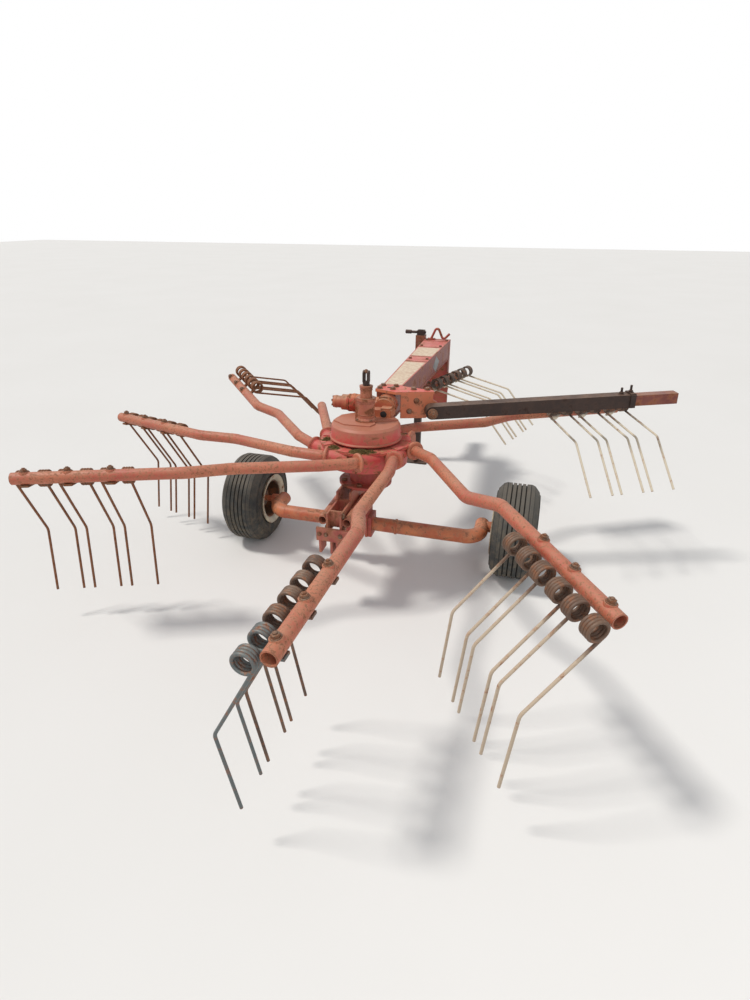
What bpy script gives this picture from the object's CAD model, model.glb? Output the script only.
"""Looks of the single-rotor hay rake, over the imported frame.

Materials, fastenings, trim, moss and dry grass, with the camera, the light and the floor.
"""
import math
import random

import bmesh
import bpy
from mathutils import Matrix, Vector


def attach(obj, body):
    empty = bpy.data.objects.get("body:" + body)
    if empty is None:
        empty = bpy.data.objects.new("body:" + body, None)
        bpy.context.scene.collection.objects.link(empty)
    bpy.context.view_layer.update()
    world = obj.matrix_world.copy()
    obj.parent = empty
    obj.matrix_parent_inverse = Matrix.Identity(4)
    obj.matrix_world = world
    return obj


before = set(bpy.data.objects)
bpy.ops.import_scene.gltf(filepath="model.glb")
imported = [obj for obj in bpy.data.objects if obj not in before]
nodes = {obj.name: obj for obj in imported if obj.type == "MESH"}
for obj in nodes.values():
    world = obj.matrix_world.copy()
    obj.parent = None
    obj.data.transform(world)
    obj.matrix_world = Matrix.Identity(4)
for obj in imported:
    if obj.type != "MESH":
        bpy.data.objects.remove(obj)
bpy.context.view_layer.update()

# The part's own measures, in mm and degrees, from the rotor axis' ground point
PLACE = (2.0, -223.59)
ARM_PLANE_Z, LEAN, PHASE, PITCH = 626.0, 2.0, -12.0, 40.0
OFFSET, REACH, SEAT, RISE = 161.0, 142.0, 88.0, 4.0
ARM_R, ARM_BEND_R = 22.0, 100.0
INNER, SLOPE, STEP, OUTER = 100.0, 297.0, 127.0, 560.0
BENDS = (12.5, 22.5, 22.0)
WORK, RAISED = 8.0, -44.0
MISSING, BROKEN, WHOLE = 0, 1, 2
# Each arm's side slope, lift, roll, turn of its tines, outer length and state
ARMS = [
    (0, 0, 0, 0, 0, MISSING),
    (11, -2, -87, RAISED, OUTER - 23, WHOLE),
    (15, -2, -87, RAISED, OUTER - 40, WHOLE),
    (6.5, -2, -60, 0, 0, BROKEN),
    (-6, -2, -88, RAISED, OUTER + 30, WHOLE),
    (-15, -4.5, -83, WORK, OUTER + 8, WHOLE),
    (-15.5, -2, -78, WORK, OUTER + 14, WHOLE),
    (10, -1, -61, WORK, OUTER - 22, WHOLE),
    (3, 1, -45, WORK - 14, OUTER, WHOLE),
]
SOCKETS = len(ARMS)
TINE_FIRST, TINE_PITCH, TINE_PAIRS = 44.0, 147.0, 3
COLUMN_DROP = 140
WHEEL_X, WHEEL_Y, TYRE_R, TYRE_W = 643.0, 203.0, 215.0, 190.0
AXLE_Y, FRAME_X = WHEEL_Y - 114, -52
HUB_TOP, CAP_LOW, CAP_TOP = 36.0, 46.0, 113.0
GEAR_TOP = CAP_TOP + 34
BEAM_X, BEAM_SHIFT, BEAM_START, BEAM_END = 46.0, 12.0, 195.0, 1416.0
BEAM_TOP, BEAM_H, W_REAR, W_FRONT = 812.0, 110.0, 84.0, 156.0
WIDENING = (W_FRONT - W_REAR) / 2
BRACKET_TOP = BEAM_TOP + 12
SHAFT_Z = BEAM_TOP - 47
SWATH_PIVOT, SWATH_TURN, SWATH_DROP, SWATH_HALF = (240, 180, 748), 19, 2.6, 28


# Placing


def turn(axis, degrees):
    return Matrix.Rotation(math.radians(degrees), 4, axis)


def move(x, y, z):
    return Matrix.Translation((x, y, z))


MM = Matrix.Scale(0.001, 4)
PLACED = MM @ move(PLACE[0], PLACE[1], 0)
ON_ROTOR = PLACED @ move(0, 0, ARM_PLANE_Z) @ turn("X", -LEAN)
ON_SHAFT = PLACED @ move(BEAM_X, 0, SHAFT_Z) @ turn("X", -90)
ACROSS_GEAR = PLACED @ move(0, 154, SHAFT_Z) @ turn("Y", 90)
ON_AXLE = PLACED @ move(0, AXLE_Y, TYRE_R) @ turn("Y", 90)
SWATH = PLACED @ move(*SWATH_PIVOT) @ turn("Z", SWATH_TURN)
SWATH_BAR = SWATH @ turn("Y", -SWATH_DROP)
STAND = PLACED @ move(BEAM_X - W_FRONT / 2 - 28.3, BEAM_END + 4, 0)


def on_socket(k):
    return ON_ROTOR @ turn("Z", PHASE + PITCH * k) @ move(0, OFFSET, 0) @ turn("Y", -RISE)


def arm_moves(k):
    """Steps along a whole arm: each is a length, a roll and a bend."""
    side, lift, roll, _, outer, _ = ARMS[k]
    plane = math.degrees(math.atan2(side, -lift))
    return [
        (SEAT + 8, plane, math.hypot(side, lift)), (INNER, roll - plane, BENDS[0]),
        (SLOPE, 0, -BENDS[1]), (STEP, 0, BENDS[2]), (outer, 0, 0),
    ]


def after(m, bend_r, step):
    length, roll, bend = step
    s = (bend > 0) - (bend < 0)
    m = m @ move(length, 0, 0) @ turn("X", roll)
    return m @ move(0, 0, -s * bend_r) @ turn("Y", bend) @ move(0, 0, s * bend_r)


def arm_end(k):
    m = on_socket(k) @ move(REACH - SEAT + 0.3, 0, 0)
    for step in arm_moves(k):
        m = after(m, ARM_BEND_R, step)
    return m


def tine_places(k, height):
    """Places on top of arm k over its pairs of tines, square to the tines."""
    _, _, roll, tine_turn, _, state = ARMS[k]
    if state != WHOLE:
        return []
    m = arm_end(k) @ turn("X", tine_turn - roll)
    return [m @ move(-TINE_FIRST - i * TINE_PITCH, 0, height) for i in range(TINE_PAIRS)]


def beam_edge(y):
    """Middle and half width of the drawbar at y."""
    f = (y - BEAM_START) / (BEAM_END - BEAM_START)
    return BEAM_X - BEAM_SHIFT * (1 - f), (W_REAR + (W_FRONT - W_REAR) * f) / 2


def beam_side(s):
    """Turn of the drawbar's left (-1) or right (1) side away from Y, in degrees."""
    return math.degrees(math.atan2(BEAM_SHIFT + s * WIDENING, BEAM_END - BEAM_START))


def new_object(name, data):
    o = bpy.data.objects.new(name, data)
    bpy.context.scene.collection.objects.link(o)
    return o


# Camera and lights

# The eye in mm from the rotor axis' ground point, its angles in degrees, and the focal length as
# a share of the picture's height
EYE = (636, -2147, 1500)
HEADING, DOWN, ROLL = 15.5, 26.6, 0.2
SENSOR, FOCAL = 36, 0.5707

cam_data = bpy.data.cameras.new("camera")
cam_data.sensor_width = SENSOR
cam_data.lens = SENSOR * FOCAL
cam_data.clip_start = 0.05
cam = new_object("camera", cam_data)
cam.matrix_world = (
    Matrix.Translation(((EYE[0] + PLACE[0]) / 1000, (EYE[1] + PLACE[1]) / 1000, EYE[2] / 1000))
    @ turn("Z", HEADING) @ turn("X", 90 - DOWN) @ turn("Z", ROLL)
)
bpy.context.scene.camera = cam
bpy.context.scene.view_settings.view_transform = "Standard"


def lamp(name, kind, energy, place, aim, size, color=(1, 1, 1)):
    data = bpy.data.lights.new(name, kind)
    data.energy = energy
    data.color = color
    if kind == "SUN":
        data.angle = math.radians(size)
    else:
        data.shape = "DISK"
        data.size = size
    o = new_object(name, data)
    o.location = place
    o.rotation_euler = (Vector(aim) - Vector(place)).to_track_quat("-Z", "Y").to_euler()


lamp("sun", "SUN", 2.2, (-3.0, -0.8, 5.2), (0, 0, 0), 9, (1, 0.97, 0.92))
lamp("fill", "AREA", 40, (2.5, -4.0, 3.0), (0, 0, 0.5), 3.0)


# Materials


class Tree:
    """A material's or the world's node tree, built by short calls."""

    def __init__(self, tree):
        self.t = tree
        self.t.nodes.clear()

    def add(self, kind, **inputs):
        n = self.t.nodes.new("ShaderNode" + kind)
        for name, value in inputs.items():
            self.feed(n.inputs[name.replace("_", " ")], value)
        return n

    def feed(self, socket, value):
        if isinstance(value, bpy.types.NodeSocket):
            self.t.links.new(value, socket)
        elif isinstance(value, tuple) and len(value) == 3 and socket.type == "RGBA":
            socket.default_value = (*value, 1)
        else:
            socket.default_value = value

    def noise(self, coord, scale, detail=4.0, rough=0.55, distortion=0.0):
        n = self.add("TexNoise", Vector=coord, Scale=scale, Detail=detail, Roughness=rough,
                     Distortion=distortion)
        return n.outputs["Fac"]

    def ramp(self, fac, low, high, a=0.0, b=1.0):
        """Takes fac from the range low to high to the range a to b."""
        n = self.add("MapRange", Value=fac, From_Min=low, From_Max=high, To_Min=a, To_Max=b)
        return n.outputs["Result"]

    def math(self, op, a, b=0.0):
        n = self.t.nodes.new("ShaderNodeMath")
        n.operation = op
        self.feed(n.inputs[0], a)
        self.feed(n.inputs[1], b)
        return n.outputs[0]

    def times(self, a, b):
        return self.math("MULTIPLY", a, b)

    def distance(self, a, b):
        """Distance of the point a, b from the origin."""
        return self.math("SQRT", self.math("ADD", self.times(a, a), self.times(b, b)))

    def mix(self, fac, a, b):
        n = self.t.nodes.new("ShaderNodeMix")
        n.data_type = "RGBA"
        self.feed(n.inputs[0], fac)
        self.feed(n.inputs[6], a)
        self.feed(n.inputs[7], b)
        return n.outputs[2]

    def bump(self, height, distance, strength=1.0):
        return self.add("Bump", Height=height, Distance=distance, Strength=strength)

    def surface(self, color, roughness, bump=None):
        """Ends a material's tree with a shader, and returns the shader."""
        shader = self.add("BsdfPrincipled", Base_Color=color, Roughness=roughness)
        if bump:
            self.feed(shader.inputs["Normal"], bump.outputs[0])
        self.feed(self.add("OutputMaterial").inputs["Surface"], shader.outputs[0])
        return shader


world = bpy.data.worlds.new("world")
bpy.context.scene.world = world
world.use_nodes = True
w = Tree(world.node_tree)
sky = w.add("Background", Color=(0.93, 0.95, 1.0), Strength=0.48)
white = w.add("Background", Color=(1, 1, 1), Strength=1.0)
path = w.add("LightPath")
seen = w.math("MAXIMUM", path.outputs["Is Camera Ray"], path.outputs["Is Glossy Ray"])
seen = w.math("MAXIMUM", seen, path.outputs["Is Transmission Ray"])
both = w.add("MixShader")
w.feed(both.inputs[0], seen)
w.feed(both.inputs[1], sky.outputs[0])
w.feed(both.inputs[2], white.outputs[0])
w.feed(w.add("OutputWorld").inputs["Surface"], both.outputs[0])


def lin(r, g, b):
    """A colour written as 0 to 255 sRGB, as the linear values that nodes take."""
    return tuple(((v / 255 + 0.055) / 1.055) ** 2.4 if v > 10 else v / 255 / 12.92
                 for v in (r, g, b))


DUST = lin(176, 158, 132)
# Rust's dark, middle and light tones
DEEP = (lin(70, 42, 30), lin(125, 72, 44), lin(168, 104, 62))
SOFT = (lin(104, 60, 44), lin(146, 90, 62), lin(182, 126, 92))


def start(name):
    """A new material, its empty node tree and its object coordinates."""
    m = bpy.data.materials.new(name)
    m.use_nodes = True
    t = Tree(m.node_tree)
    return m, t, t.add("TexCoord").outputs["Object"]


def worn_metal(name, paint, faded, rust=0.5, dust=0.3, fade_scale=9.0, rust_scale=34.0, rough=0.5,
               metal=0.0, dust_color=DUST, dust_least=0.15, side=None, tones=DEEP, speckle=0.16,
               wash=None, inner=None, far=None):
    """Old paint or bare steel: faded patches, rust through the paint and on edges, dust on top.

    side is a colour for faces that don't look up. wash turns the colour to a tint over a range of
    heights, inner inside a range of radii round the wheels' axis, and far outside a radius round
    the rotor's axis, all in metres.
    """
    m, t, at = start(name)
    normal = t.add("NewGeometry").outputs["Normal"]
    soft = t.add("Bevel", Radius=0.003)
    soft.samples = 4
    dot = t.add("VectorMath")
    dot.operation = "DOT_PRODUCT"
    t.feed(dot.inputs[0], soft.outputs[0])
    t.feed(dot.inputs[1], normal)
    edge = t.ramp(dot.outputs["Value"], 0.995, 0.86)
    big = t.noise(at, fade_scale, 5, 0.6, 0.3)
    mid = t.noise(at, rust_scale, 7, 0.68, 0.5)
    fine = t.noise(at, 260.0, 5, 0.6)
    grain = t.noise(at, 900.0, 3, 0.5)
    up = t.add("SeparateXYZ", Vector=normal).outputs["Z"]
    place = t.add("SeparateXYZ", Vector=at)

    # Paint
    color = t.mix(t.ramp(big, 0.36, 0.64), paint, faded)
    color = t.mix(t.ramp(fine, 0.3, 0.75, 0.0, 0.35), color, tuple(v * 0.55 for v in paint))
    if side:
        color = t.mix(t.ramp(up, 0.3, 0.8, 0.85, 0.0), color, side)
    if wash:
        low, high, tint = wash
        level = t.math("ADD", place.outputs["Z"], t.times(t.math("SUBTRACT", mid, 0.5), 0.05))
        color = t.mix(t.ramp(level, low, high), color, tint)
    if inner:
        low, high, tint = inner
        across = t.distance(t.math("SUBTRACT", place.outputs["Y"], (WHEEL_Y + PLACE[1]) / 1000),
                            t.math("SUBTRACT", place.outputs["Z"], TYRE_R / 1000))
        color = t.mix(t.ramp(across, low, high, 1.0, 0.0), color, tint)
    if far:
        low, high, tint = far
        across = t.distance(t.math("SUBTRACT", place.outputs["X"], PLACE[0] / 1000),
                            t.math("SUBTRACT", place.outputs["Y"], PLACE[1] / 1000))
        color = t.mix(t.ramp(across, low, high), color, tint)

    # Rust: a pale halo round a core
    patch = t.math("ADD", mid, t.times(fine, speckle))
    patch = t.math("ADD", patch, t.times(edge, 0.2))
    patch = t.math("ADD", patch, t.times(big, 0.12))
    base = 0.72 - 0.22 * rust + speckle / 2
    halo = t.ramp(patch, base - 0.09, base + 0.04)
    core = t.ramp(patch, base - 0.01, base + 0.09)
    rust_tone = t.mix(t.ramp(fine, 0.35, 0.65), tones[0], tones[1])
    rust_tone = t.mix(t.ramp(grain, 0.45, 0.7, 0.0, 0.6), rust_tone, tones[2])
    color = t.mix(t.times(halo, 0.55), color, tones[2])
    color = t.mix(core, color, rust_tone)

    # Dust
    patches = t.ramp(t.noise(at, 17.0, 6, 0.65), 0.35, 0.7, dust_least, 1.0)
    settled = t.times(t.ramp(up, 0.35, 0.95), patches)
    color = t.mix(t.times(settled, dust), color, dust_color)

    roughness = t.math("ADD", t.ramp(core, 0.0, 1.0, rough, 0.88),
                       t.ramp(fine, 0.2, 0.8, -0.08, 0.1))
    height = t.math("SUBTRACT", t.times(fine, 0.35), t.times(core, 0.45))
    height = t.math("ADD", height, t.times(grain, 0.2))
    bump = t.bump(height, 0.0018, 0.55)
    t.feed(bump.inputs["Normal"], soft.outputs[0])
    shader = t.surface(color, roughness, bump)
    if metal:
        t.feed(shader.inputs["Metallic"], t.ramp(core, 0.0, 1.0, metal, 0.1))
    return m


def rubber(name):
    """Old tyre rubber: grey and dull, muddy towards the ground, with dark grooves and cracks."""
    m, t, at = start(name)
    facing = t.add("SeparateXYZ", Vector=t.add("NewGeometry").outputs["Normal"])
    place = t.add("SeparateXYZ", Vector=at)
    big = t.noise(at, 12.0, 5, 0.6)
    fine = t.noise(at, 320.0, 6, 0.65)
    color = t.mix(t.ramp(big, 0.3, 0.7), lin(40, 42, 42), lin(68, 70, 68))
    mud = t.times(t.ramp(t.noise(at, 26.0, 7, 0.7), 0.42, 0.66),
                  t.ramp(place.outputs["Z"], 0.42, 0.0, 0.25, 0.95))
    color = t.mix(mud, color, lin(122, 108, 88))
    dusty = t.times(t.ramp(facing.outputs["Z"], 0.2, 1.0), 0.35)
    color = t.mix(dusty, color, lin(140, 130, 116))
    color = t.mix(t.ramp(fine, 0.3, 0.7, 0.0, 0.3), color, lin(24, 23, 22))
    # A dark groove every 20 mm across the tread, and none on the sides
    from_axis = t.math("ABSOLUTE", t.math("SUBTRACT", place.outputs["X"], PLACE[0] / 1000))
    row = t.math("DIVIDE", t.math("SUBTRACT", from_axis, WHEEL_X / 1000 - 1), 0.02)
    off = t.math("ABSOLUTE", t.math("SUBTRACT", t.math("FRACT", row), 0.5))
    flat = t.math("ABSOLUTE", facing.outputs["X"])
    groove = t.times(t.ramp(off, 0.15, 0.09), t.ramp(flat, 0.75, 0.55))
    color = t.mix(t.times(groove, 0.85), color, lin(18, 17, 16))
    crack = t.add("TexVoronoi", Vector=at, Scale=150.0)
    crack.feature = "DISTANCE_TO_EDGE"
    height = t.math("ADD", fine, t.ramp(crack.outputs["Distance"], 0.0, 0.08, 0.0, 0.5))
    height = t.math("SUBTRACT", height, t.times(groove, 2.0))
    t.surface(color, t.ramp(big, 0.2, 0.8, 0.66, 0.9), t.bump(height, 0.0015, 0.5))
    return m


def plain(name, a, b, scale, rough, bump_depth=0.0008):
    """A dull two-tone surface: a sticker, a bare plate, straw, moss or a dark hollow."""
    m, t, at = start(name)
    n = t.noise(at, scale, 6, 0.65)
    t.surface(t.mix(t.ramp(n, 0.35, 0.65), a, b), t.ramp(n, 0.2, 0.8, rough - 0.1, rough + 0.1),
              t.bump(n, bump_depth))
    return m


MAT = {
    "arm": worn_metal(
        "arm_paint", lin(178, 82, 64), lin(194, 116, 84), rust=0.58, rust_scale=110,
        fade_scale=5, tones=SOFT, speckle=0.4),
    "hub": worn_metal(
        "hub_paint", lin(188, 58, 56), lin(204, 92, 86), rust=0.42, dust=0.22),
    "cap": worn_metal(
        "cap_paint", lin(198, 66, 62), lin(208, 96, 86), rust=0.25, dust=0.97, rust_scale=18,
        dust_color=lin(170, 108, 84), dust_least=0.85, tones=SOFT,
        wash=(0.708, 0.734, lin(178, 104, 84))),
    "tower": worn_metal(
        "tower_paint", lin(160, 84, 66), lin(186, 112, 88), rust=0.66, rust_scale=24),
    "cast": worn_metal(
        "casting", lin(172, 70, 56), lin(196, 128, 84), rust=0.55, dust=0.5, rust_scale=14,
        fade_scale=7),
    "bar": worn_metal(
        "drawbar_paint", lin(196, 76, 76), lin(214, 120, 112), rust=0.42, rust_scale=20,
        side=lin(104, 58, 56)),
    "bracket": worn_metal(
        "bracket_paint", lin(212, 92, 84), lin(216, 112, 98), rust=0.42, dust=0.15, tones=SOFT,
        side=lin(206, 122, 82)),
    "frame": worn_metal(
        "frame_rust", lin(164, 74, 64), lin(184, 108, 88), rust=0.62, rust_scale=24,
        tones=SOFT, speckle=0.3),
    "axle": worn_metal(
        "axle_paint", lin(172, 78, 52), lin(206, 124, 78), rust=0.52, dust=0.2, tones=SOFT,
        speckle=0.3),
    "tine": worn_metal(
        "tine_rust", lin(92, 62, 46), lin(128, 92, 66), rust=0.75, dust=0.1, rust_scale=60,
        rough=0.6, metal=0.3),
    "tine_dark": worn_metal(
        "tine_dark", lin(86, 66, 56), lin(120, 98, 82), rust=0.25, dust=0.1, rust_scale=50,
        metal=0.3, far=(1.205, 1.209, lin(96, 102, 102))),
    "tine_pale": worn_metal(
        "tine_pale", lin(112, 84, 64), lin(92, 68, 54), rust=0.12, dust=0.1, rust_scale=50,
        wash=(0.60, 0.57, lin(182, 164, 142))),
    "tine_high": worn_metal(
        "tine_high", lin(64, 52, 46), lin(92, 72, 58), rust=0.12, dust=0.1, rust_scale=50,
        wash=(0.642, 0.622, lin(206, 194, 172))),
    "dark": worn_metal(
        "dark_steel", lin(42, 27, 22), lin(60, 42, 34), rust=0.45, dust=0.7, rust_scale=30,
        rough=0.6, metal=0.2, dust_color=lin(126, 98, 80),
        tones=(lin(38, 25, 20), lin(56, 38, 30), lin(72, 50, 40))),
    "red": worn_metal(
        "red_paint", lin(146, 46, 42), lin(180, 78, 66), dust=0.2, rust_scale=26),
    "end": worn_metal(
        "brown_paint", lin(112, 50, 42), lin(134, 76, 60), rust=0.55, rust_scale=30),
    "rim": worn_metal(
        "rim_paint", lin(206, 200, 184), lin(186, 178, 160), rust=0.35, dust=0.1,
        rust_scale=26, inner=(0.0935, 0.0965, lin(84, 62, 46))),
    "rim_edge": worn_metal(
        "rim_edge", lin(214, 204, 176), lin(176, 170, 156), rust=0.3, dust=0.1, rust_scale=30,
        metal=0.2),
    "bolt": worn_metal(
        "bolt_steel", lin(128, 112, 98), lin(96, 76, 62), rust=0.6, dust=0.1, rust_scale=80,
        metal=0.5),
    "rough": worn_metal(
        "rough_casting", lin(190, 60, 46), lin(168, 70, 50), rust=0.6, dust=0.0,
        rust_scale=50, rough=0.7, wash=(0.782, 0.8, lin(206, 128, 94))),
    "dark_hole": plain("dark_hole", lin(20, 16, 14), lin(34, 27, 24), 60, 0.8),
    "tyre": rubber("tyre_rubber"),
    "sticker": plain("sticker", lin(216, 200, 176), lin(196, 168, 144), 60, 0.6),
    "diamond": plain("diamond_plate", lin(148, 150, 152), lin(112, 112, 112), 40, 0.5),
    "straw": plain("straw", lin(196, 172, 116), lin(150, 122, 72), 90, 0.85),
    "moss": plain("moss", lin(74, 70, 34), lin(122, 98, 56), 140, 0.95, 0.003),
}

# Each node's material. An arm or a set of tines that isn't named here has the usual one.
LOOK = {
    "drawbar": "bar", "drawbar_head": "red", "hitch_tongue": "red", "hose_hook": "red",
    "stand_sleeve": "end", "gearbox": "cast", "gear_cap": "cap", "tower_tube": "tower",
    "tower_spindle": "tower", "tower_eye": "dark", "cross_bracket": "bracket",
    "swath_pin": "bolt", "centre_column": "red", "frame_plates": "frame",
    "frame_tubes": "frame", "rear_bracket": "frame", "axle_cheeks": "red", "axle": "axle",
    "rotor_hub": "hub", "rim_left": "rim", "rim_right": "rim", "tyre_left": "tyre",
    "tyre_right": "tyre", "input_shaft": "bolt", "swath_bar": "dark",
    "swath_extension": "end", "stand_leg": "dark", "tines_2": "tine_high",
    "tines_3": "tine_high", "tines_8": "tine_dark", "tines_9": "tine_pale",
}
USUAL = {"arm": "arm", "tines": "tine"}
for name, o in nodes.items():
    look = LOOK.get(name) or USUAL[name.split("_")[0]]
    o.data.materials.clear()
    o.data.materials.append(MAT[look])

floor_mat, t, at = start("floor")
t.surface(t.mix(t.noise(at, 0.8, 4), lin(222, 221, 218), lin(228, 227, 225)), 0.9)
mesh = bpy.data.meshes.new("floor")
mesh.from_pydata([(-30, -30, 0), (30, -30, 0), (30, 30, 0), (-30, 30, 0)], [], [(0, 1, 2, 3)])
mesh.materials.append(floor_mat)
floor = new_object("floor", mesh)


# Pieces


class Piece:
    """A mesh that is gathered from small forms and then rides on one body."""

    def __init__(self, name, material, body, slot):
        self.name, self.material, self.body, self.slot = name, material, body, slot
        self.bm = bmesh.new()

    def point(self, m, r, a, z):
        """A vertex at radius r, angle a in radians and height z of m."""
        return self.bm.verts.new(m @ Vector((r * math.cos(a), r * math.sin(a), z)))

    def skin(self, loops):
        """Faces between each loop of vertices and the next."""
        for a, b in zip(loops, loops[1:]):
            for i in range(len(a)):
                j = (i + 1) % len(a)
                self.bm.faces.new((a[i], a[j], b[j], b[i]))

    def prism(self, m, rings, sides):
        """A turned form along Z of m: rings are (z, radius), in mm, closed at both ends."""
        loops = [[self.point(m, r, 2 * math.pi * i / sides, z) for i in range(sides)]
                 for z, r in rings]
        self.skin(loops)
        self.bm.faces.new(loops[0][::-1])
        self.bm.faces.new(loops[-1])

    def hoop(self, m, outline, sides, closed=True):
        """An outline of (z, radius), in mm, swept round Z of m. It is a strip if not closed."""
        turns = [[self.point(m, r, 2 * math.pi * i / sides, z) for z, r in outline]
                 for i in range(sides)]
        n = len(outline)
        for i in range(sides):
            j = (i + 1) % sides
            for q in range(n if closed else n - 1):
                w = (q + 1) % n
                self.bm.faces.new((turns[i][q], turns[j][q], turns[j][w], turns[i][w]))

    def bolt(self, m, size, washer=True, stem=0.0):
        """A hexagon head on a washer, on Z = 0 of m. Size is across the corners."""
        r = size / 2
        z = 0.0
        if washer:
            self.prism(m, [(-0.2, r * 1.15), (0.3, r * 1.25), (1.8, r * 1.25), (2.2, r * 1.15)], 20)
            z = 2.2
        h = size * 0.36
        top = z + h
        self.prism(m, [(z, r * 0.93), (z + 0.4, r), (top - 1, r), (top, r * 0.86),
                       (top + 0.01, r * 0.6)], 6)
        if stem:
            self.prism(m, [(top, r * 0.5), (top + stem - 1, r * 0.5), (top + stem, r * 0.4)], 12)

    def plate(self, m, outline, thick, bevel=0.6):
        """A flat plate with its outline in mm in XY of m, and a small bevel on its top edge."""
        n = len(outline)
        c = Vector((sum(p[0] for p in outline) / n, sum(p[1] for p in outline) / n))
        spokes = [Vector(p) - c for p in outline]
        inner = [v * (1 - bevel / max(1, v.length)) + c for v in spokes]
        low = [self.bm.verts.new(m @ Vector((p[0], p[1], 0))) for p in outline]
        mid = [self.bm.verts.new(m @ Vector((p[0], p[1], thick - bevel * 0.6))) for p in outline]
        top = [self.bm.verts.new(m @ Vector((p[0], p[1], thick))) for p in inner]
        self.skin([low, mid, top])
        self.bm.faces.new(low[::-1])
        self.bm.faces.new(top)

    def done(self, smooth=True):
        """Turns the gathered forms into an object that rides on the piece's body."""
        bmesh.ops.recalc_face_normals(self.bm, faces=self.bm.faces)
        mesh = bpy.data.meshes.new(self.name)
        self.bm.to_mesh(mesh)
        self.bm.free()
        if smooth:
            mesh.shade_smooth()
        mesh.materials.append(MAT[self.material])
        o = new_object(self.name, mesh)
        if smooth:
            mod = o.modifiers.new("edges", "EDGE_SPLIT")
            mod.split_angle = math.radians(35)
        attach(o, self.body)


# Bolts over the tines, one at each pair
bolts = Piece("arm_bolts", "bolt", "rotor", "dark_steel")
for k in range(SOCKETS):
    for at in tine_places(k, ARM_R + 1.4):
        bolts.bolt(at, 23, stem=4)
bolts.done()

# Round seats under those bolts
pads = Piece("bolt_seats", "arm", "rotor", "faded_paint")
for k in range(SOCKETS):
    for at in tine_places(k, ARM_R - 3.0):
        pads.prism(at, [(-8, 17.5), (3.2, 17.5), (4.4, 16.8), (4.6, 15)], 28)
pads.done()

# Sockets: a rounded collar at each mouth, a weld bead behind it and a bolt behind the bead
socket_bolts = Piece("socket_bolts", "bolt", "rotor", "dark_steel")
welds = Piece("hub_welds", "hub", "rotor", "red_paint")
collars = Piece("socket_collars", "arm", "rotor", "faded_paint")
for k in range(SOCKETS):
    m = on_socket(k)
    socket_bolts.bolt(m @ move(REACH - 22, 0, 0) @ turn("X", 30) @ move(0, 0, 27.6), 13)
    welds.prism(m @ move(REACH - 18, 0, 0) @ turn("Y", 90),
                [(0, 28.2), (1.5, 31), (3.5, 32.6), (4.5, 32.4)], 28)
    collars.prism(m @ move(REACH - 12, 0, 0) @ turn("Y", 90),
                  [(0, 34), (1, 36.5), (3, 38), (7, 38.4), (10, 37.4), (12, 35), (12.6, 31),
                   (12.6, 24)], 32)
socket_bolts.done()
welds.done()
collars.done()

# Hub's top: a ring of raised pads, one for each socket
ring = Piece("hub_ring", "hub", "rotor", "red_paint")
for i in range(SOCKETS):
    at = ON_ROTOR @ turn("Z", PHASE + PITCH * i + 68) @ move(0, 0, HUB_TOP - 0.4)
    ring.plate(at, [(118, -16), (184, -26), (188, -14), (188, 14), (184, 26), (118, 16)], 3.4)
ring.done()

# Cover: a raised plateau on its top and a lip round its foot
plateau = Piece("cover_plateau", "cap", "frame", "faded_paint")
plateau.plate(ON_ROTOR @ move(0, 0, CAP_TOP - 0.4),
              [(-130, -34), (-68, -78), (38, -74), (50, -36), (36, 0), (126, 48), (100, 84),
               (20, 124), (-70, 104), (-122, 46)], 5.5, 2.0)
plateau.prism(ON_ROTOR @ move(0, 0, CAP_LOW + 0.5),
              [(0, 146.6), (2, 149), (5, 149), (7, 146.4)], 72)
plateau.done()

# Cover and tower: four bolts round the tower's foot and the bolt through its eye
cap_bolts = Piece("cover_bolts", "bolt", "frame", "dark_steel")
for a in (45, 135, 225, 315):
    cap_bolts.bolt(ON_ROTOR @ turn("Z", a) @ move(39.5, 0, CAP_TOP + 10), 11)
cap_bolts.bolt(ON_ROTOR @ move(0, 0, CAP_TOP + 205) @ turn("X", 90) @ move(0, 0, 0.5), 14)
cap_bolts.done()

# Tower: rings round both tubes and a cone at the foot
tower = Piece("tower_trim", "tower", "frame", "faded_paint")
for z, outline, sides in (
    (78, [(0, 35.2), (1, 36.6), (4, 36.6), (5, 35.2)], 40),
    (30, [(0, 35.2), (1, 36.2), (3, 36.2), (4, 35.2)], 40),
    (130, [(0, 24.2), (1, 26), (5, 26), (6, 24.2)], 32),
    (10.2, [(0, 41), (9, 36)], 40),
):
    tower.prism(ON_ROTOR @ move(0, 0, CAP_TOP + z), outline, sides)
tower.done()

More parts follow.
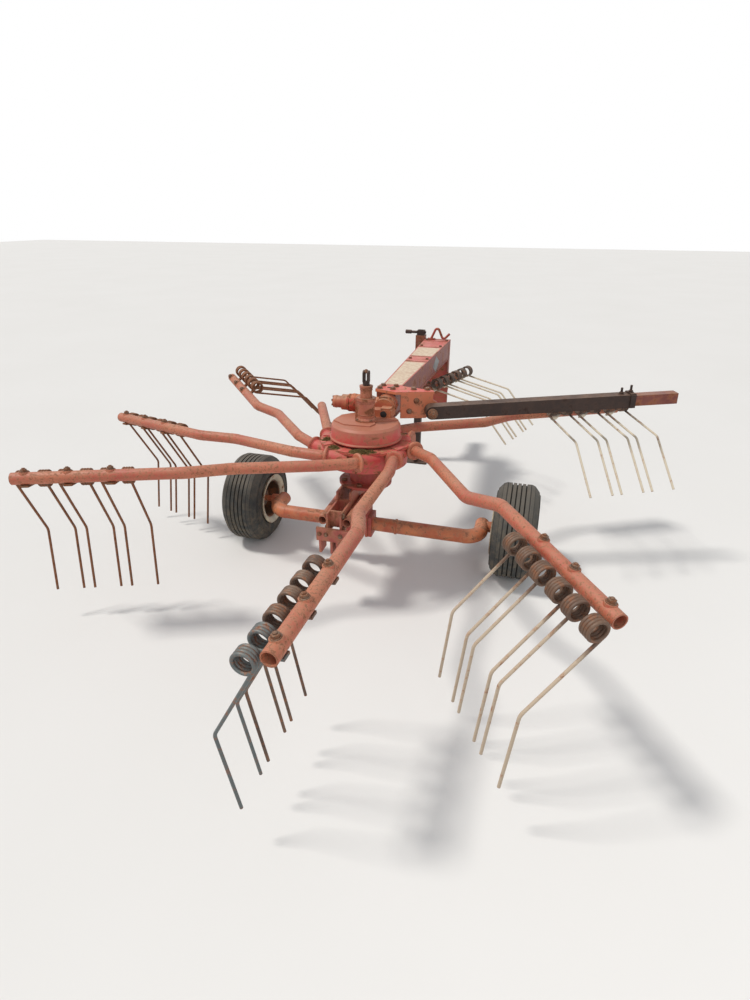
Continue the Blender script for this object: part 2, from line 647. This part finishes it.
# Gearbox: rings, ribs and rough cast lumps on its left casting
cast = Piece("gearbox_castings", "rough", "frame", "faded_paint")
for z in (-122, -96, -70):
    cast.prism(ACROSS_GEAR @ move(0, 0, z), [(0, 34.2), (2, 38), (8, 38.6), (11, 34.2)], 36)
for a in range(0, 360, 45):
    cast.plate(ACROSS_GEAR @ turn("Z", a) @ move(33, 0, -120) @ turn("Y", 90) @ turn("Z", 90),
               [(-3, 2), (3, 2), (3, 62), (-3, 62)], 4)
rnd = random.Random(3)
LUMP_SIDES, LUMP_RINGS = 30, 9
for z0, z1, r0 in ((-128, -52, 36), (-60, -8, 35)):
    rows = []
    for i in range(LUMP_RINGS):
        f = i / (LUMP_RINGS - 1)
        bulge = math.sin(math.pi * f) ** 0.5 if 0 < f < 1 else 0
        row = []
        for j in range(LUMP_SIDES):
            a = 2 * math.pi * j / LUMP_SIDES
            x = (r0 - 3 + bulge * rnd.uniform(2, 9)) * math.cos(a)
            y = (r0 - 3 + bulge * rnd.uniform(2, 9)) * math.sin(a)
            row.append(cast.bm.verts.new(ACROSS_GEAR @ Vector((x, y, z0 + (z1 - z0) * f))))
        rows.append(row)
    cast.skin(rows)
cast.done()

# Gearbox: its end cover, two rings on the shaft's line and two plates on top, with the recesses
# and bolts in them, and one recess in the cross bracket
cast = Piece("gearbox_trim", "cast", "frame", "faded_paint")
cast.prism(ACROSS_GEAR @ move(0, 0, -192),
           [(0, 19), (2, 23), (6, 26.5), (12, 27.5), (16, 27.5), (20, 26)], 32)
SHAFT_RINGS = (128, 176)
for y in SHAFT_RINGS:
    cast.prism(ON_SHAFT @ move(0, 0, y), [(0, 40.2), (2, 45), (10, 45.6), (13, 40.2)], 36)
cast.plate(ON_ROTOR @ move(-42, 64, GEAR_TOP),
           [(-14, -1), (40, -1), (46, 8), (46, 60), (36, 70), (-12, 70)], 7)
cast.plate(ON_ROTOR @ move(64, 64, GEAR_TOP),
           [(-20, 0), (18, 0), (22, 10), (22, 60), (12, 72), (-22, 66)], 8)
cast.done()
holes = Piece("gearbox_recesses", "dark_hole", "frame", "dark_steel")
holes.prism(ACROSS_GEAR @ move(0, 0, -193), [(0, 17), (0.6, 19), (1.4, 19)], 24)
holes.prism(ON_ROTOR @ move(58, 58.5, CAP_TOP + 18) @ turn("X", 90),
            [(0, 13.5), (0.8, 14), (1.6, 12)], 24)
holes.plate(PLACED @ move(BEAM_X, 226, BRACKET_TOP + 0.1),
            [(-14, -5), (14, -8), (15, 5), (-13, 8)], 0.5, 0.2)
holes.done()
gear_bolts = Piece("gearbox_bolts", "bolt", "frame", "dark_steel")
for a in range(30, 390, 60):
    gear_bolts.bolt(ACROSS_GEAR @ turn("Z", a) @ move(0, 20.5, -192) @ turn("X", 180), 10,
                    washer=False)
for y in SHAFT_RINGS:
    for a in range(0, 360, 60):
        gear_bolts.bolt(ON_SHAFT @ turn("Z", a) @ move(45, 0, y + 6.5) @ turn("Y", 90), 10,
                        washer=False)
for x, y in ((-50, 70), (-50, 130), (0, 136), (50, 70), (78, 132)):
    gear_bolts.bolt(ON_ROTOR @ move(x, y, GEAR_TOP + (7 if x < 0 else 0)), 14)
gear_bolts.done()

# Cross bracket: bolts on its plate and round the swath arm's pivot, gussets on its side
bracket_bolts = Piece("bracket_bolts", "bolt", "frame", "dark_steel")
for x, y in ((4, 205), (62, 205), (8, 250), (66, 250), (150, 226), (208, 236)):
    bracket_bolts.bolt(PLACED @ move(x, y, BRACKET_TOP + 0.2), 22)
bracket_bolts.bolt(SWATH @ move(0, -40, 0) @ turn("X", 90), 34, stem=8)
bracket_bolts.bolt(SWATH @ move(-92, 45, -22) @ turn("X", -90), 22)
bracket_bolts.bolt(SWATH @ move(-92, 33, -8) @ turn("X", 90), 20)
bracket_bolts.bolt(SWATH @ move(-62, 33, 38) @ turn("X", 90), 20)
bracket_bolts.done()
gussets = Piece("bracket_gussets", "bracket", "frame", "faded_paint")
for x in (-118, -70, -30):
    gussets.plate(SWATH @ move(x, 45, BEAM_TOP - SWATH_PIVOT[2]) @ turn("Y", 90),
                  [(0, 0), (0, 22), (60, 0)], 6)
gussets.done()

# Swath arm: a band round the bar's open end, and its two clamp screws
swath_trim = Piece("swath_trim", "dark", "swath_arm", "dark_steel")
band = SWATH_BAR @ move(866, 0, 0)
swath_trim.plate(band @ move(0, 0, SWATH_HALF), [(-16, -29), (7, -29), (7, 29), (-16, 29)], 5)
for s in (-1, 1):
    swath_trim.plate(band @ move(0, s * SWATH_HALF, 0) @ turn("X", -90 * s),
                     [(-16, -28), (7, -28), (7, 28), (-16, 28)], 5)
swath_trim.bolt(SWATH_BAR @ move(860, 0, SWATH_HALF + 5), 20, stem=22)
swath_trim.bolt(SWATH_BAR @ move(820, 0, SWATH_HALF), 20, stem=18)
swath_trim.done()

# Drawbar: blank stickers, a blank diamond, seams and bolts
stickers = Piece("drawbar_stickers", "sticker", "frame", "faded_paint")
for y0, y1 in ((323, 548), (551, 776), (932, 1150)):
    c0, h0 = beam_edge(y0)
    c1, h1 = beam_edge(y1)
    stickers.plate(PLACED @ move(0, 0, BEAM_TOP),
                   [(c0 - h0 + 7, y0), (c0 + h0 - 7, y0), (c1 + h1 - 7, y1), (c1 - h1 + 7, y1)],
                   0.7, 0.3)
stickers.done(False)
DIAMOND_Y = 1020
c, h = beam_edge(DIAMOND_Y)
diamond = Piece("drawbar_diamond", "diamond", "frame", "faded_paint")
at = PLACED @ move(c + h, DIAMOND_Y, BEAM_TOP - 60) @ turn("Z", -beam_side(1))
diamond.plate(at @ turn("Y", 90), [(-44, 0), (0, -80), (44, 0), (0, 80)], 1.2, 0.5)
diamond.done(False)
seam = Piece("drawbar_seams", "bar", "frame", "faded_paint")
for s in (-1, 1):
    c, h = beam_edge(BEAM_START)
    length = math.hypot(BEAM_END - BEAM_START, BEAM_SHIFT + s * WIDENING) - 60
    at = PLACED @ move(c + s * h, BEAM_START, 0) @ turn("Z", -beam_side(s))
    seam.plate(at @ move(s * 1.2, 6, BEAM_TOP - BEAM_H + 2),
               [(-5, 0), (2.4, 0), (2.4, length), (-5, length)], 6, 0.8)
for y in (300, 800, 920, 1170, 1350):
    c, h = beam_edge(y)
    seam.plate(PLACED @ move(c, y, BEAM_TOP - 0.4),
               [(-h + 3, -3), (h - 3, -3), (h - 3, 3), (-h + 3, 3)], 2.0, 1.0)
seam.done()
beam_bolts = Piece("drawbar_bolts", "bolt", "frame", "dark_steel")
for y in (280, 860, 1200, 1380):
    c, h = beam_edge(y)
    for s in (-1, 1):
        beam_bolts.bolt(PLACED @ move(c + s * (h - 16), y, BEAM_TOP), 15)
for x in (-58, 58):
    for z in (470, 560, 640, 780):
        beam_bolts.bolt(PLACED @ move(BEAM_X + x, BEAM_END + 14.3, z) @ turn("X", -90), 24)
beam_bolts.done()

# Wheels: bolts and nuts, hub caps, valves, rim edges and the ribs on the tyres' sides
for side, name in ((-1, "left"), (1, "right")):
    body = "wheel_" + name
    axis = PLACED @ move(side * WHEEL_X, WHEEL_Y, TYRE_R) @ turn("Y", side * 90)
    nuts = Piece("wheel_nuts_" + name, "bolt", body, "dark_steel")
    for a in range(0, 360, 72):
        nuts.bolt(axis @ turn("Z", a) @ move(60, 0, 23), 19, stem=6)
        nuts.bolt(axis @ turn("Z", a) @ move(60, 0, 10.5) @ turn("X", 180), 19)
    nuts.prism(axis @ move(0, 0, 48), [(-0.5, 41), (4, 41), (6, 38), (7, 30)], 40)
    nuts.prism(axis @ turn("Z", 36) @ move(82, 0, 24),
               [(0, 4.5), (14, 4.5), (15, 3.5), (26, 3.5), (27, 2.5)], 12)
    nuts.done()
    edge = Piece("rim_edge_" + name, "rim_edge", body, "wheel_paint")
    edge.hoop(axis, [(-84, 97), (-90, 112), (-94, 122), (-99, 124), (-101, 121), (-97, 109),
                     (-92, 98), (-86, 94)], 96)
    edge.done()
    ribs = Piece("tyre_ribs_" + name, "tyre", body, "tyre_rubber")
    for s in (-1, 1):
        face = axis @ move(0, 0, s * (TYRE_W / 2 - 2.2))
        for r in (158, 172):
            ribs.hoop(face, [(s * -1.5, r - 2.2), (s * 1.4, r), (s * -1.5, r + 2.2)], 72,
                      closed=False)
    ribs.done()

# Axle: two rings, bolts in the cheeks and a washer on each spindle's end
axle_trim = Piece("axle_trim", "axle", "frame", "faded_paint")
for x in (-180, 112):
    axle_trim.prism(ON_AXLE @ move(0, 0, x), [(0, 32.3), (1, 35.5), (9, 35.5), (10, 32.3)], 36)
axle_trim.done()
axle_bolts = Piece("axle_bolts", "bolt", "frame", "dark_steel")
for s in (-1, 1):
    for y, z in ((-30, 230), (30, 230), (-30, 330), (30, 330), (0, 365)):
        axle_bolts.bolt(PLACED @ move(FRAME_X + s * 44.4, AXLE_Y + y, z) @ turn("Y", s * 90), 22)
    axle_bolts.prism(PLACED @ move(s * (WHEEL_X + 50), WHEEL_Y, TYRE_R) @ turn("Y", s * 90),
                     [(0, 14.6), (2, 20), (6, 20), (7, 18)], 24)
axle_bolts.done()

# Under-frame: bolts in its plates, in the rear bracket and in the column's round plate
frame_bolts = Piece("frame_bolts", "bolt", "frame", "dark_steel")
for s in (-1, 1):
    for y, z in ((-262, 372), (-262, 430), (-150, 366), (-60, 366), (30, 366), (120, 366),
                 (170, 400)):
        frame_bolts.bolt(PLACED @ move(FRAME_X + s * 32, y, z) @ turn("Y", s * 90), 20)
for x in (-58, -30, 30, 58):
    frame_bolts.bolt(PLACED @ move(FRAME_X + x, -290.2, 352) @ turn("X", 90), 16)
for i in range(6):
    frame_bolts.bolt(ON_ROTOR @ turn("Z", 30 + 60 * i) @ move(92, 0, -COLUMN_DROP), 22)
frame_bolts.done()

# Parking stand: recesses in the leg, a grip on the handle, ribs on the foot, sleeve bolts
stand_trim = Piece("stand_trim", "dark", "stand", "dark_steel")
for z in (130, 200, 270):
    stand_trim.prism(STAND @ move(0, -22.4, z) @ turn("X", 90),
                     [(-0.4, 8), (0.3, 8.4), (0.6, 8)], 20)
stand_trim.prism(STAND @ move(-92, 0, BEAM_TOP + 36) @ turn("Y", 90),
                 [(-6, 9), (-4, 12), (30, 12), (32, 9)], 20)
for a in range(0, 360, 90):
    stand_trim.plate(STAND @ turn("Z", a) @ move(0, 22, 8),
                     [(-3, 0), (3, 0), (3, 50), (-3, 50)], 26, 1)
stand_trim.done()
sleeve_bolts = Piece("stand_bolts", "bolt", "frame", "dark_steel")
for z in (660, 780):
    sleeve_bolts.bolt(STAND @ move(0, -28, z) @ turn("X", 90), 24, stem=10)
sleeve_bolts.done()

# Splines of the input stub, ahead of the drawbar's end
splines = Piece("stub_splines", "bolt", "input", "rusty_steel")
near, tip = -BEAM_END - 62, -BEAM_END - 112
for a in range(0, 360, 60):
    splines.plate(ON_SHAFT @ turn("Z", a) @ move(17.1, 0, 0) @ turn("Y", 90),
                  [(tip, -4), (near, -4), (near, 4), (tip, 4)], 1.6, 0.4)
splines.done()

# Moss and dry grass on the hub's plate: each patch of moss is its middle, two radii and a count
MOSS_IN, MOSS_OUT = 150, 186
rnd = random.Random(7)
tuft = Piece("hub_moss", "moss", "rotor", "red_paint")
for cx, cy, rx, ry, n in ((30, -166, 52, 26, 620), (-92, -146, 26, 18, 240),
                          (66, -156, 26, 16, 160), (-150, -60, 20, 30, 120)):
    for _ in range(n):
        a = rnd.uniform(0, 2 * math.pi)
        d = math.sqrt(rnd.random())
        x, y = cx + rx * d * math.cos(a), cy + ry * d * math.sin(a)
        if not MOSS_IN <= math.hypot(x, y) <= MOSS_OUT:
            continue
        h = rnd.uniform(7, 17) * (1.25 - d)
        lean_by = turn("Z", rnd.uniform(0, 360)) @ turn("Y", rnd.uniform(0, 50))
        at = ON_ROTOR @ move(x, y, HUB_TOP) @ lean_by
        r = rnd.uniform(1.2, 3.4)
        tuft.prism(at, [(-1, r), (h * 0.6, r * 0.8), (h, 0.4)], 5)
tuft.done(False)
straw = Piece("dry_grass", "straw", "rotor", "red_paint")
for _ in range(120):
    a = rnd.uniform(0, 2 * math.pi)
    d = rnd.uniform(152, 180)
    lies = turn("Z", rnd.uniform(0, 360)) @ turn("X", rnd.uniform(-8, 2))
    at = ON_ROTOR @ turn("Z", math.degrees(a)) @ move(d, 0, HUB_TOP + 0.6) @ lies
    length = rnd.uniform(12, 34)
    straw.plate(at, [(-0.7, 0), (0.7, 0), (0.5, length), (-0.5, length)], 0.5, 0.1)
straw.done(False)
